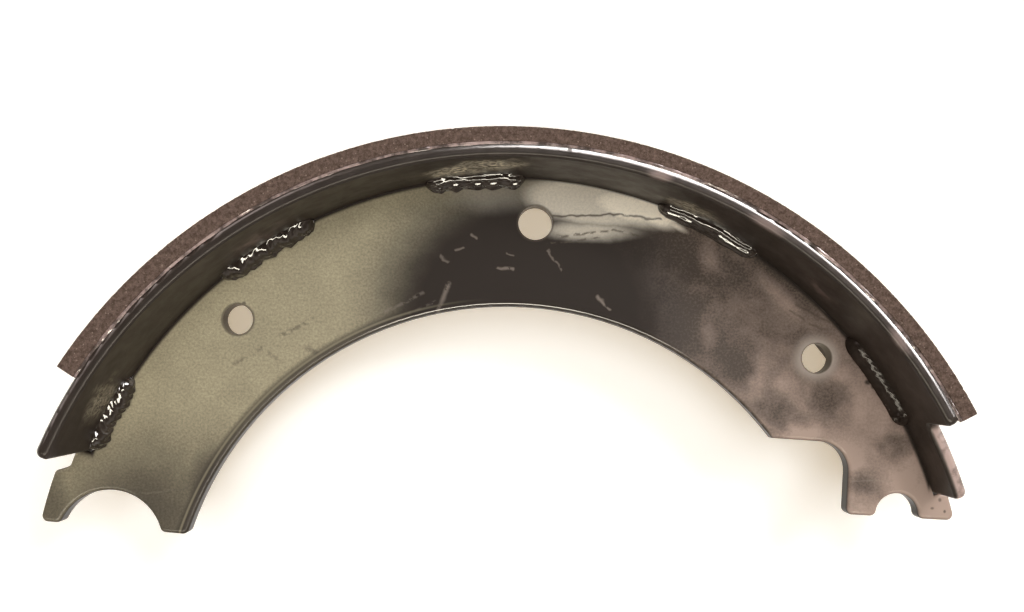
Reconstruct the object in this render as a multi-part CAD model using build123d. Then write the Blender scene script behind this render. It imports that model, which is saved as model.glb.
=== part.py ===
from build123d import *
from math import atan2, cos, degrees, radians, sin, sqrt
import os

# Brake shoe for a 200 mm drum: a T-section steel shoe with a bonded lining.
# It lies on its side. Z is along the drum's axis, +Y points to the crown of the arc
# and +X to the adjuster end. Every piece is drawn about the drum's axis, and the whole
# shoe is then moved, so that the origin is at the bottom centre of its box.
# Lengths are millimetres. Angles are degrees from the crown, positive towards +X.

# Lining, ground to the drum, and the film of adhesive that holds it
drum_radius = 100.0
shoe_width = 50.0
lining_heel_angle = -56.6
lining_toe_angle = 62.5
lining_crown_thickness = 2.8
bond_thickness = 0.2
bond_inset = 1.4

# Rim, the rolled table that carries the lining, struck from its own centre
rim_offset_x = 0.4
rim_offset_y = 1.1
rim_thickness = 2.6
rim_heel_angle = -67.2
rim_toe_angle = 63.0
rim_corner_radius = 1.6
rim_outer_edge_radius = 1.2
rim_inner_edge_radius = 0.8
tongue_end_angle = 73.0
tongue_width = 27.0
tongue_root_radius = 2.0

# Web, the stamped plate on edge under the rim
web_thickness = 4.0
web_crown_depth = 26.9
web_inner_offset_x = 0.5
web_inner_offset_y = -2.7
web_die_roll = 0.9
shoulder_gap = 0.4

# Anchor end of the web, on the heel side
heel_shoulder_height = 3.3
heel_shoulder_length = 4.3
heel_ear_clearance = 0.8
heel_ear_rise_angle = 1.15
heel_foot_height = 22.85
heel_foot_slope = -5.2
anchor_notch_radius = 11.1
anchor_notch_inset = 15.8
anchor_notch_angle = -77.65

# Adjuster end of the web, on the toe side
inner_arc_toe_angle = 52.6
toe_step_slope = -4.0
toe_step_radius = 6.2
toe_leg_offset = 10.6
toe_leg_slope = 87.1
toe_shoulder_height = 3.1
toe_foot_height = 24.0
toe_foot_slope = -3.3
adjuster_notch_radius = 4.4
adjuster_notch_inset = 14.3
adjuster_notch_angle = 73.75

# Corners of the stamping
foot_corner_radius = 1.3
shoulder_corner_radius = 1.1

# Holes through the web, by their depth under the rim
hold_down_hole_radius = 3.55
hold_down_hole_depth = 9.3
hold_down_hole_angle = 4.35
spring_hole_radius = 3.1
heel_spring_hole_depth = 8.8
heel_spring_hole_angle = -41.15
toe_spring_hole_depth = 7.8
toe_spring_hole_angle = 49.5

# Fillet welds in the corner of web and rim, the same on both faces of the web
weld_spans = ((-67.0, -56.3), (-39.2, -25.1), (-10.3, 2.7), (20.0, 34.3), (50.0, 63.5))
weld_bead_radius = 3.2
weld_rim_reach = 1.1
weld_web_lift = 0.7
weld_ripple_pitch = 2.2

# Values that follow from the sizes above
drum_axis = Vector(0, 0)
rim_centre = Vector(rim_offset_x, rim_offset_y)
lining_inner_radius = drum_radius - lining_crown_thickness - rim_offset_y
rim_outer_radius = lining_inner_radius - bond_thickness
rim_inner_radius = rim_outer_radius - rim_thickness
web_inner_centre = Vector(web_inner_offset_x, web_inner_offset_y)
web_inner_radius = rim_offset_y + rim_inner_radius - web_crown_depth - web_inner_offset_y
web_bottom = (shoe_width - web_thickness) / 2
web_top = web_bottom + web_thickness
gap_angle = degrees(shoulder_gap / rim_inner_radius)
heel_shoulder_angle = rim_heel_angle - gap_angle
toe_shoulder_angle = tongue_end_angle + gap_angle
far = 3 * drum_radius
weld_clear_height = 2 * weld_bead_radius


def direction(angle):
    """The unit vector that points at an angle from the crown."""
    return Vector(sin(radians(angle)), cos(radians(angle)))


def slope_vector(slope):
    """The unit vector along a line that rises at a slope from +X."""
    return Vector(cos(radians(slope)), sin(radians(slope)))


def polar(centre, radius, angle):
    """The point at a radius and at an angle from the crown about a centre."""
    return centre + direction(angle) * radius


def angle_about(centre, point):
    """The angle from the crown at which a point lies about a centre."""
    return degrees(atan2(point.X - centre.X, point.Y - centre.Y))


def arc_about(centre, radius, start_angle, end_angle):
    """An arc about a centre from one angle to another."""
    angles = (start_angle, (start_angle + end_angle) / 2, end_angle)
    return ThreePointArc(*[polar(centre, radius, angle) for angle in angles])


def line_meets_circle(point, slope, centre, radius, side):
    """Where a sloped line through a point meets a circle, on its +X (1) or -X (-1) side."""
    along = slope_vector(slope)
    from_centre = point - centre
    half = from_centre.dot(along)
    reach = sqrt(half**2 - from_centre.dot(from_centre) + radius**2)
    return point + along * (side * reach - half)


def lines_meet(point_a, slope_a, point_b, slope_b):
    """Where two sloped lines cross."""
    across_b = slope_vector(slope_b + 90)
    distance = (point_b - point_a).dot(across_b) / slope_vector(slope_a).dot(across_b)
    return point_a + slope_vector(slope_a) * distance


def round_corners(face, corners, radius):
    """Round the corners of a flat face that lie nearest to the given points."""
    for corner in corners:
        face = fillet(face.vertices().sort_by_distance(corner)[0], radius)
    return face


def rim_band(width, start_angle, end_angle):
    """A stretch of the rim's plate of the given width, turned about the rim's centre."""
    section = Pos(rim_inner_radius + rim_thickness / 2, shoe_width / 2) * Rectangle(rim_thickness, width)
    band = revolve(Plane.XZ * section, Axis.Z, end_angle - start_angle)
    return Pos(rim_centre) * Rot(0, 0, 90 - end_angle) * band


def end_radii(edge):
    """The distances of an edge's two ends from the rim's axis."""
    return [(edge.position_at(end) - rim_centre).project_to_plane(Plane.XY).length for end in (0, 1)]


def through_thickness(edge):
    """Whether an edge crosses the rim's thickness, from its inner to its outer face."""
    radii = end_radii(edge)
    return abs(radii[1] - radii[0]) > rim_thickness / 2


def on_outer_face(edge):
    """Whether an edge runs round the rim's outer face."""
    return min(end_radii(edge)) > rim_outer_radius - rim_thickness / 2


def on_inner_face(edge):
    """Whether an edge runs round the rim's inner face."""
    return max(end_radii(edge)) < rim_inner_radius + rim_thickness / 2


def make_rim():
    """The rolled rim with its narrower tongue, its corners and then its edges rounded."""
    rim = rim_band(shoe_width, rim_heel_angle, rim_toe_angle)
    rim += rim_band(tongue_width, rim_toe_angle, tongue_end_angle)
    tongue_sides = ((shoe_width - tongue_width) / 2, (shoe_width + tongue_width) / 2)
    root = polar(rim_centre, rim_inner_radius, rim_toe_angle)
    root_points = [root + Vector(0, 0, height) for height in tongue_sides]
    crossing = rim.edges().filter_by(through_thickness)
    roots = [crossing.sort_by_distance(point)[0] for point in root_points]
    rim = fillet(crossing - roots, rim_corner_radius)
    for point in root_points:
        crossing = rim.edges().filter_by(through_thickness)
        rim = fillet(crossing.sort_by_distance(point)[0], tongue_root_radius)
    rim = fillet(rim.edges().filter_by(on_outer_face), rim_outer_edge_radius)
    return fillet(rim.edges().filter_by(on_inner_face), rim_inner_edge_radius)


def lining_band(outer, inner, height):
    """The part of a ring between two circles that lies within the lining's ends."""
    middle_angle = (lining_heel_angle + lining_toe_angle) / 2
    wedge = Polygon(
        drum_axis,
        polar(drum_axis, far, lining_toe_angle),
        polar(drum_axis, far, middle_angle),
        polar(drum_axis, far, lining_heel_angle),
        align=None,
    )
    return extrude((outer - inner) & wedge, height)


def make_lining():
    """The friction lining, ground to the drum on a rim that is struck off its axis."""
    return lining_band(Circle(drum_radius), Pos(rim_centre) * Circle(lining_inner_radius), shoe_width)


def make_bond_film():
    """The film of adhesive between rim and lining, short of their sides."""
    outer = Pos(rim_centre) * Circle(lining_inner_radius)
    inner = Pos(rim_centre) * Circle(rim_outer_radius)
    return Pos(0, 0, bond_inset) * lining_band(outer, inner, shoe_width - 2 * bond_inset)


def heel_outline():
    """The web's edge from the rim's heel down round the anchor notch to the inner arc."""
    shoulder_radius = rim_inner_radius + heel_shoulder_height
    ear_radius = drum_radius - heel_ear_clearance
    notch = polar(drum_axis, drum_radius - anchor_notch_inset, anchor_notch_angle)
    shoulder_end_angle = heel_shoulder_angle - degrees(heel_shoulder_length / shoulder_radius)
    rim_end = polar(rim_centre, rim_inner_radius, heel_shoulder_angle)
    shoulder = polar(rim_centre, shoulder_radius, heel_shoulder_angle)
    shoulder_end = polar(rim_centre, shoulder_radius, shoulder_end_angle)
    ear = polar(drum_axis, ear_radius, angle_about(drum_axis, shoulder_end) - heel_ear_rise_angle)
    foot_line = Vector(-ear_radius, heel_foot_height)
    foot_outer = line_meets_circle(foot_line, heel_foot_slope, drum_axis, ear_radius, -1)
    notch_outer = line_meets_circle(foot_line, heel_foot_slope, notch, anchor_notch_radius, -1)
    notch_inner = line_meets_circle(foot_line, heel_foot_slope, notch, anchor_notch_radius, 1)
    foot_inner = line_meets_circle(foot_line, heel_foot_slope, web_inner_centre, web_inner_radius, -1)
    edges = [
        Line(rim_end, shoulder),
        arc_about(rim_centre, shoulder_radius, heel_shoulder_angle, shoulder_end_angle),
        Line(shoulder_end, ear),
        arc_about(drum_axis, ear_radius, angle_about(drum_axis, ear), angle_about(drum_axis, foot_outer)),
        Line(foot_outer, notch_outer),
        ThreePointArc(notch_outer, polar(notch, anchor_notch_radius, 0), notch_inner),
        Line(notch_inner, foot_inner),
    ]
    return edges, [foot_outer, notch_outer, notch_inner, foot_inner], [shoulder, shoulder_end, ear]


def toe_outline():
    """The web's edge from the inner arc round the adjuster notch to the tongue's end."""
    shoulder_radius = rim_inner_radius + toe_shoulder_height
    notch = polar(drum_axis, drum_radius - adjuster_notch_inset, adjuster_notch_angle)
    step = polar(web_inner_centre, web_inner_radius, inner_arc_toe_angle)
    foot_inner = Vector(notch.X - toe_leg_offset, toe_foot_height)
    step_corner = lines_meet(step, toe_step_slope, foot_inner, toe_leg_slope)
    notch_inner = line_meets_circle(foot_inner, toe_foot_slope, notch, adjuster_notch_radius, -1)
    notch_outer = line_meets_circle(foot_inner, toe_foot_slope, notch, adjuster_notch_radius, 1)
    foot_outer = line_meets_circle(foot_inner, toe_foot_slope, rim_centre, shoulder_radius, 1)
    foot_angle = angle_about(rim_centre, foot_outer)
    shoulder = polar(rim_centre, shoulder_radius, toe_shoulder_angle)
    rim_end = polar(rim_centre, rim_inner_radius, toe_shoulder_angle)
    edges = [
        Line(step, step_corner),
        Line(step_corner, foot_inner),
        Line(foot_inner, notch_inner),
        ThreePointArc(notch_inner, polar(notch, adjuster_notch_radius, 0), notch_outer),
        Line(notch_outer, foot_outer),
        arc_about(rim_centre, shoulder_radius, foot_angle, toe_shoulder_angle),
        Line(shoulder, rim_end),
    ]
    return edges, [foot_inner, notch_inner, notch_outer, foot_outer], [shoulder], step_corner


def web_holes():
    """The hold-down hole and the two spring holes of the web."""
    hold_down = polar(rim_centre, rim_inner_radius - hold_down_hole_depth, hold_down_hole_angle)
    heel_spring = polar(rim_centre, rim_inner_radius - heel_spring_hole_depth, heel_spring_hole_angle)
    toe_spring = polar(rim_centre, rim_inner_radius - toe_spring_hole_depth, toe_spring_hole_angle)
    spring_holes = [Pos(centre) * Circle(spring_hole_radius) for centre in (heel_spring, toe_spring)]
    return [Pos(hold_down) * Circle(hold_down_hole_radius), *spring_holes]


def make_web():
    """The sickle-shaped web with its notched ends, its holes and its rolled upper edge."""
    heel_edges, heel_feet, heel_shoulders = heel_outline()
    toe_edges, toe_feet, toe_shoulders, step_corner = toe_outline()
    inner_heel_angle = angle_about(web_inner_centre, heel_feet[-1])
    inner_arc = arc_about(web_inner_centre, web_inner_radius, inner_heel_angle, inner_arc_toe_angle)
    outer_arc = arc_about(rim_centre, rim_inner_radius, toe_shoulder_angle, heel_shoulder_angle)
    outline = Sketch() + make_face([*heel_edges, inner_arc, *toe_edges, outer_arc])
    outline = round_corners(outline, [step_corner], toe_step_radius)
    outline = round_corners(outline, heel_feet + toe_feet, foot_corner_radius)
    outline = round_corners(outline, heel_shoulders + toe_shoulders, shoulder_corner_radius)
    plate = Pos(0, 0, web_bottom) * extrude(outline, web_thickness)
    crown = polar(rim_centre, rim_inner_radius, (heel_shoulder_angle + toe_shoulder_angle) / 2)
    upper_edges = plate.faces().sort_by(Axis.Z)[-1].edges()
    seat_edge = upper_edges.sort_by_distance(Vector(crown.X, crown.Y, web_top))[0]
    plate = fillet(upper_edges - [seat_edge], web_die_roll)
    for hole in web_holes():
        plate -= Pos(0, 0, web_bottom) * extrude(hole, web_thickness)
    return plate


def make_front_weld(start_angle, end_angle):
    """One bead of overlapping ripples, which fills the corner above the web."""
    path_radius = rim_inner_radius + weld_rim_reach
    run_length = radians(end_angle - start_angle) * path_radius - 2 * weld_bead_radius
    ripple_count = max(2, round(run_length / weld_ripple_pitch) + 1)
    pitch_angle = degrees(run_length / path_radius) / (ripple_count - 1)
    first_angle = start_angle + degrees(weld_bead_radius / path_radius)
    ripples = Part()
    for index in range(ripple_count):
        centre = polar(rim_centre, path_radius, first_angle + pitch_angle * index)
        ripples += Pos(centre.X, centre.Y, web_top + weld_web_lift) * Sphere(weld_bead_radius)
    corner_space = Pos(rim_offset_x, rim_offset_y, web_top) * Cylinder(
        rim_inner_radius, weld_clear_height, align=(Align.CENTER, Align.CENTER, Align.MIN)
    )
    return ripples & corner_space


def make_nodes():
    """Every piece of the shoe by its name, about the drum's axis."""
    nodes = {
        "rim": make_rim(),
        "web": make_web(),
        "friction_lining": make_lining(),
        "bond_film": make_bond_film(),
    }
    web_middle = Plane.XY.offset(shoe_width / 2)
    for number, (start_angle, end_angle) in enumerate(weld_spans, start=1):
        bead = make_front_weld(start_angle, end_angle)
        nodes[f"front_weld_{number}"] = bead
        nodes[f"rear_weld_{number}"] = mirror(bead, about=web_middle)
    return nodes


def main():
    """Build the shoe, put its origin at the bottom centre of its box and write it."""
    nodes = make_nodes()
    box = Compound(children=[Compound(node.solids()) for node in nodes.values()]).bounding_box()
    to_origin = Pos(-box.center().X, -box.center().Y, -box.min.Z)
    os.makedirs("parts", exist_ok=True)
    for name, node in nodes.items():
        export_step(to_origin * node, f"parts/{name}.step")
    print("drum axis at", round(-box.center().X, 3), round(-box.center().Y, 3))


main()
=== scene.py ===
import logging
from dataclasses import dataclass, field
from enum import Enum
from functools import cached_property
from math import acos, asin, cos, degrees, exp, hypot, pi, radians, sin, sqrt
from random import Random
from typing import Callable

import bmesh
import bpy
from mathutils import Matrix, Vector, noise


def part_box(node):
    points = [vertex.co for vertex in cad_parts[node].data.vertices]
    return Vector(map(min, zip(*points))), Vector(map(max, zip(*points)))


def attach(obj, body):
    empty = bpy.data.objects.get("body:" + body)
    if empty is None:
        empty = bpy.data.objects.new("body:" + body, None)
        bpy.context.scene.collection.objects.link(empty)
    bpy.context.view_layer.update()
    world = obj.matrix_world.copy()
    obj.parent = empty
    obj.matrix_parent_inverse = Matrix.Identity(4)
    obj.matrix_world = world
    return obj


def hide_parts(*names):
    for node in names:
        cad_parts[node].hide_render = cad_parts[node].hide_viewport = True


# A drum brake shoe, lying on its side on white paper under soft studio light.
# Sizes are millimetres in the frame of the CAD model: Z is along the drum's axis, +Y points
# to the crown of the arc. Angles are degrees from the crown, positive towards +X.

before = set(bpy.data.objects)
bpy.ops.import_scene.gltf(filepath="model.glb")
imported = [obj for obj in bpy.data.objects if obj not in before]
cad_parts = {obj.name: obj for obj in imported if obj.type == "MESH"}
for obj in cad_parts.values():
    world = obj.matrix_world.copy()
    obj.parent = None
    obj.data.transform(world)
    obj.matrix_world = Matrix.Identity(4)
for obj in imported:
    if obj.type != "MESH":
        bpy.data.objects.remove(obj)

MM = 0.001
SHARP_ANGLE = 40.0
LOG = logging.getLogger("brake_shoe")

Colour = tuple[float, float, float]
Span = tuple[float, float]
Speckle = tuple[float, float, float]
Socket = bpy.types.NodeSocket


class Side(Enum):
    """The two faces of the web, by the sign of their direction along the drum's axis."""

    FRONT = 1
    REAR = -1


class Slot(Enum):
    """The record's material slots for the made pieces; none of them is set on a piece here."""

    WELD = "painted_weld"
    LINING = "friction_material"
    ADHESIVE = "adhesive"


# ---------------------------------------------------------------- node graphs


@dataclass(frozen=True)
class Value:
    """What a node puts out. Numbers can be added, subtracted and multiplied, each with a Math node."""

    graph: "Graph"
    socket: Socket

    def __add__(self, other: "Signal") -> "Value":
        """The sum."""
        return self.graph.math("ADD", self, other)

    def __sub__(self, other: "Signal") -> "Value":
        """The difference."""
        return self.graph.math("SUBTRACT", self, other)

    def __rsub__(self, other: float) -> "Value":
        """The difference from a plain number."""
        return self.graph.math("SUBTRACT", other, self)

    def __mul__(self, other: "Signal") -> "Value":
        """The product."""
        return self.graph.math("MULTIPLY", self, other)


Signal = Value | Socket | float | Colour


@dataclass(frozen=True)
class Grain:
    """Noise, by the size of its largest features in millimetres, its finer layers and its twist."""

    size: float
    detail: float = 2.0
    rough: float = 0.5
    twist: float = 0.0


class Graph:
    """A node tree that is written as calls, each of which adds a node and returns its value."""

    def __init__(self, tree: bpy.types.NodeTree) -> None:
        """Keep the tree that the calls add to, which is that of a material, a world or a group."""
        self.tree = tree

    def node(self, kind: str, inputs: dict | None = None, **settings) -> bpy.types.Node:
        """Add a node.

        Args:
            kind: the node's type name.
            inputs: values or sockets for its inputs, by input name or number.
            settings: properties of the node itself.

        Returns:
            The new node.
        """
        made = self.tree.nodes.new(kind)
        for name, value in settings.items():
            setattr(made, name, value)
        for key, value in (inputs or {}).items():
            self.feed(made.inputs[key], value)
        return made

    def feed(self, target: Socket, value: Signal) -> None:
        """Link a value to an input, or set the input's own value."""
        value = value.socket if isinstance(value, Value) else value
        if isinstance(value, bpy.types.NodeSocket):
            self.tree.links.new(value, target)
        elif isinstance(value, tuple) and target.type == "RGBA":
            target.default_value = (*value, 1.0)
        else:
            target.default_value = value

    def output(self, node: bpy.types.Node, name: str | int = 0) -> Value:
        """One of a node's outputs, by its name or number."""
        return Value(self, node.outputs[name])

    def math(self, operation: str, *values: Signal, clamp: bool = False) -> Value:
        """A Math node's result, kept from 0 to 1 if clamp is set."""
        inputs = dict(enumerate(values))
        return self.output(self.node("ShaderNodeMath", inputs, operation=operation, use_clamp=clamp))

    def vector(self, operation: str, *values: Signal, output: int = 0) -> Value:
        """A Vector Math node's result: output 0 is a vector and output 1 a number."""
        inputs = dict(enumerate(values))
        return self.output(self.node("ShaderNodeVectorMath", inputs, operation=operation), output)

    def scale(self, vector: Signal, factor: Signal) -> Value:
        """A vector times a number."""
        inputs = {0: vector, "Scale": factor}
        return self.output(self.node("ShaderNodeVectorMath", inputs, operation="SCALE"))

    def flat(self, vector: Signal) -> Value:
        """A vector laid into the XY plane."""
        return self.vector("MULTIPLY", vector, (1.0, 1.0, 0.0))

    def length(self, vector: Signal) -> Value:
        """A vector's length."""
        return self.vector("LENGTH", vector, output=1)

    def join(self, x: Signal, y: Signal) -> Value:
        """A vector in the XY plane."""
        return self.output(self.node("ShaderNodeCombineXYZ", {0: x, 1: y}))

    def parts(self, vector: Signal) -> list[Value]:
        """The X, Y and Z of a vector."""
        made = self.node("ShaderNodeSeparateXYZ", {0: vector})
        return [self.output(made, number) for number in range(3)]

    def ramp(
        self, value: Signal, low: Signal, high: Signal, start: float = 0.0, end: float = 1.0
    ) -> Value:
        """A smooth step of a value: start where it is low or less, and end where it is high or more."""
        inputs = {0: value, 1: low, 2: high, 3: start, 4: end}
        return self.output(self.node("ShaderNodeMapRange", inputs, interpolation_type="SMOOTHSTEP"))

    def noise(self, place: Value, grain: Grain) -> Value:
        """Noise from 0 to 1."""
        inputs = {"Vector": place, "Scale": 1 / grain.size, "Detail": grain.detail}
        inputs.update({"Roughness": grain.rough, "Distortion": grain.twist})
        return self.output(self.node("ShaderNodeTexNoise", inputs), "Fac")

    def blend(self, share: Signal, first: Signal, second: Signal) -> Value:
        """A mix of two colours, with a given share of the second one."""
        made = self.node("ShaderNodeMix", data_type="RGBA")
        for number, value in ((0, share), (6, first), (7, second)):
            self.feed(made.inputs[number], value)
        return self.output(made, 2)

    def bump(self, height: Signal) -> Value:
        """The normal of a surface with a relief in millimetres."""
        return self.output(self.node("ShaderNodeBump", {"Height": height, "Distance": MM, "Strength": 1.0}))

    def place(self) -> Value:
        """The position in the frame, in millimetres."""
        return self.scale(self.output(self.node("ShaderNodeTexCoord"), "Object"), 1 / MM)

    def group(self, tree: bpy.types.NodeTree, inputs: dict, output: str) -> Value:
        """Place a node group and return one of its outputs."""
        made = self.node("ShaderNodeGroup", node_tree=tree)
        for key, value in inputs.items():
            self.feed(made.inputs[key], value)
        return self.output(made, output)


def new_group(
    name: str, vectors: tuple[str, ...], numbers: tuple[str, ...], outputs: tuple[str, ...]
) -> tuple[Graph, Value, dict[str, Value], dict[str, Socket]]:
    """Start a shader node group, which takes a position and further named inputs.

    Args:
        name: the group's name.
        vectors: the names of its inputs that are vectors.
        numbers: the names of its inputs that are numbers.
        outputs: the names of its outputs, each of which is a number.

    Returns:
        The group's graph, the position, its other inputs and the sockets of its output node, by name.
    """
    tree = bpy.data.node_groups.new(name, "ShaderNodeTree")
    kinds = {"Position": "Vector", **dict.fromkeys(vectors, "Vector"), **dict.fromkeys(numbers, "Float")}
    for label, kind in kinds.items():
        tree.interface.new_socket(label, in_out="INPUT", socket_type=f"NodeSocket{kind}")
    for label in outputs:
        tree.interface.new_socket(label, in_out="OUTPUT", socket_type="NodeSocketFloat")
    graph = Graph(tree)
    entry = tree.nodes.new("NodeGroupInput")
    given = {label: graph.output(entry, label) for label in kinds}
    leave = tree.nodes.new("NodeGroupOutput").inputs
    return graph, given.pop("Position"), given, {label: leave[label] for label in outputs}


class Effects:
    """The node groups that more than one finish uses, built once."""

    edge_warp: float = 0.22
    scratch_sway: float = 1.2
    scratch_waver: Grain = Grain(2.5)
    scratch_breaks: Grain = Grain(1.6, 3.0, 0.6)
    scratch_fade: float = 0.12
    peel: Grain = Grain(0.9, 1.0)
    sag: Grain = Grain(7.0, 1.5)
    nibs_per_mm: float = 0.55
    nib_reach: Span = (0.02, 0.16)
    speck_reach: Span = (0.2, 0.42)

    def __init__(self) -> None:
        """Build every group."""
        self.patch = self.build_patch()
        self.stroke = self.build_stroke()
        self.arc = self.build_arc()
        self.skin = self.build_skin()
        self.specks = self.build_specks()

    def build_patch(self) -> bpy.types.NodeTree:
        """A soft round or oval patch in a plane, with a ragged edge."""
        numbers = ("Turn", "Softness", "Ragged")
        graph, place, given, out = new_group("Soft Patch", ("Centre", "Reach"), numbers, ("Mask",))
        warp = graph.node("ShaderNodeTexNoise", {"Vector": place, "Scale": self.edge_warp, "Detail": 3.0})
        centred = graph.vector("SUBTRACT", graph.output(warp, "Color"), (0.5, 0.5, 0.5))
        shift = graph.scale(centred, given["Ragged"])
        moved = graph.vector("SUBTRACT", graph.vector("ADD", place, shift), given["Centre"])
        turn = {"Vector": moved, "Angle": given["Turn"]}
        turned = graph.output(graph.node("ShaderNodeVectorRotate", turn, rotation_type="Z_AXIS"))
        distance = graph.length(graph.flat(graph.vector("DIVIDE", turned, given["Reach"])))
        graph.feed(out["Mask"], 1.0 - graph.ramp(distance, 1.0 - given["Softness"], 1.0))
        return graph.tree

    def build_stroke(self) -> bpy.types.NodeTree:
        """A scratch or a run of marks along a straight line in a plane."""
        numbers = ("Width", "Broken")
        graph, place, given, out = new_group("Stroke", ("Start", "End"), numbers, ("Mask",))
        aside = (graph.noise(place, self.scratch_waver) - 0.5) * self.scratch_sway
        flat = graph.flat(graph.vector("ADD", place, graph.join(aside, aside)))
        along = graph.vector("SUBTRACT", given["End"], given["Start"])
        offset = graph.vector("SUBTRACT", flat, given["Start"])
        dots = [graph.vector("DOT_PRODUCT", a, along, output=1) for a in (offset, along)]
        nearest = graph.scale(along, graph.math("DIVIDE", *dots, clamp=True))
        distance = graph.length(graph.vector("SUBTRACT", offset, nearest))
        line = 1.0 - graph.ramp(distance, 0.0, given["Width"])
        breaks = graph.noise(place, self.scratch_breaks)
        kept = graph.ramp(breaks, given["Broken"], given["Broken"] + self.scratch_fade)
        graph.feed(out["Mask"], line * kept)
        return graph.tree

    def build_arc(self) -> bpy.types.NodeTree:
        """The distance from an axis along Z and the angle from the crown about it."""
        graph, place, given, out = new_group("Arc Place", ("Centre",), (), ("Radius", "Angle"))
        flat = graph.flat(graph.vector("SUBTRACT", place, given["Centre"]))
        x, y, _ = graph.parts(flat)
        graph.feed(out["Angle"], graph.math("DEGREES", graph.math("ARCTAN2", x, y)))
        graph.feed(out["Radius"], graph.length(flat))
        return graph.tree

    def build_skin(self) -> bpy.types.NodeTree:
        """The height of a sprayed coat of paint: orange peel, sags and dust under it."""
        graph, place, given, out = new_group("Paint Skin", (), ("Peel", "Sag", "Dust"), ("Height",))
        peel = graph.noise(place, self.peel) * given["Peel"]
        sag = graph.noise(place, self.sag) * given["Sag"]
        cells = graph.node("ShaderNodeTexVoronoi", {"Vector": place, "Scale": self.nibs_per_mm})
        nib = 1.0 - graph.ramp(graph.output(cells, "Distance"), *self.nib_reach)
        graph.feed(out["Height"], peel + sag + nib * given["Dust"])
        return graph.tree

    def build_specks(self) -> bpy.types.NodeTree:
        """Scattered specks of a given size."""
        graph, place, given, out = new_group("Specks", (), ("Size", "Share"), ("Mask",))
        scale = graph.math("DIVIDE", 1.0, given["Size"])
        cells = graph.node("ShaderNodeTexVoronoi", {"Vector": place, "Scale": scale})
        chosen = graph.output(graph.node("ShaderNodeSeparateColor", {0: graph.output(cells, "Color")}))
        picked = graph.math("LESS_THAN", chosen, given["Share"])
        speck = 1.0 - graph.ramp(graph.output(cells, "Distance"), *self.speck_reach)
        graph.feed(out["Mask"], picked * speck)
        return graph.tree


# ---------------------------------------------------------------- sizes shared by the pieces


@dataclass(frozen=True)
class Layout:
    """The arcs of the shoe, as the CAD model has them."""

    drum_radius: float = 100.0
    shoe_width: float = 50.0
    lining_heel_angle: float = -56.6
    lining_toe_angle: float = 62.5
    lining_crown_thickness: float = 2.8
    bond_thickness: float = 0.2
    rim_heel_angle: float = -67.2
    rim_toe_angle: float = 63.0
    tongue_end_angle: float = 73.0
    rim_offset_x: float = 0.4
    rim_offset_y: float = 1.1
    rim_thickness: float = 2.6
    rim_outer_edge_radius: float = 1.2
    web_thickness: float = 4.0
    web_crown_depth: float = 26.9
    web_inner_offset_x: float = 0.5
    web_inner_offset_y: float = -2.7

    @cached_property
    def drum_axis(self) -> Vector:
        """The drum's axis, found from the box of the lining."""
        low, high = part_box("friction_lining")
        x = low.x / MM - self.drum_radius * sin(radians(self.lining_heel_angle))
        return Vector((x, high.y / MM - self.drum_radius, 0))

    @cached_property
    def rim_centre(self) -> Vector:
        """The centre from which the rim is struck."""
        return self.drum_axis + Vector((self.rim_offset_x, self.rim_offset_y, 0))

    @property
    def lining_inner_radius(self) -> float:
        """The radius of the lining's inner face about the rim's centre."""
        return self.drum_radius - self.lining_crown_thickness - self.rim_offset_y

    @property
    def rim_inner_radius(self) -> float:
        """The radius of the rim's inner face about its centre."""
        return self.lining_inner_radius - self.bond_thickness - self.rim_thickness

    @property
    def web_inner_centre(self) -> Vector:
        """The centre from which the web's inner edge is struck."""
        return self.drum_axis + Vector((self.web_inner_offset_x, self.web_inner_offset_y, 0))

    @property
    def web_inner_radius(self) -> float:
        """The radius of the web's inner edge about its centre."""
        return self.rim_offset_y + self.rim_inner_radius - self.web_crown_depth - self.web_inner_offset_y

    @property
    def web_top(self) -> float:
        """The height of the web's front face."""
        return (self.shoe_width + self.web_thickness) / 2

    def ray_point(self, angle: float, radius: float) -> Vector:
        """Where a ray from the drum's axis meets a circle struck from the rim's centre, at height 0."""
        way = Vector((sin(radians(angle)), cos(radians(angle)), 0))
        offset = self.drum_axis - self.rim_centre
        along = offset.dot(way)
        return self.drum_axis + way * (sqrt(along * along - offset.dot(offset) + radius * radius) - along)

    def on_rim(self, radius: float, angle: float, height: float) -> Vector:
        """A point by its radius and angle about the rim's centre, and its height."""
        turn = radians(angle)
        return self.rim_centre + Vector((radius * sin(turn), radius * cos(turn), height))


def make_mesh(name: str, points: list[Vector], faces: list[tuple[int, ...]]) -> bpy.types.Object:
    """Make a smooth-shaded object from points in millimetres.

    Args:
        name: the object's name.
        points: the mesh's points in the frame.
        faces: the faces, each a tuple of point numbers.

    Returns:
        The new object, linked to the scene.
    """
    mesh = bpy.data.meshes.new(name)
    mesh.from_pydata([tuple(point * MM) for point in points], [], faces)
    mesh.validate()
    build = bmesh.new()
    build.from_mesh(mesh)
    bmesh.ops.recalc_face_normals(build, faces=build.faces)
    build.to_mesh(mesh)
    build.free()
    mesh.shade_smooth()
    mesh.set_sharp_from_angle(angle=radians(SHARP_ANGLE))
    made = bpy.data.objects.new(name, mesh)
    bpy.context.scene.collection.objects.link(made)
    return made


def grid_faces(rows: int, columns: int, ring: bool = False) -> list[tuple[int, ...]]:
    """The quads of a grid of points that is stored row by row.

    Args:
        rows: how many rows there are.
        columns: how many points a row has.
        ring: whether the last point of each row joins its first.

    Returns:
        The faces.
    """
    spans = columns if ring else columns - 1
    faces = []
    for row in range(rows - 1):
        for column in range(spans):
            after = (column + 1) % columns
            here = row * columns
            faces.append((here + column, here + after, here + columns + after, here + columns + column))
    return faces


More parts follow.
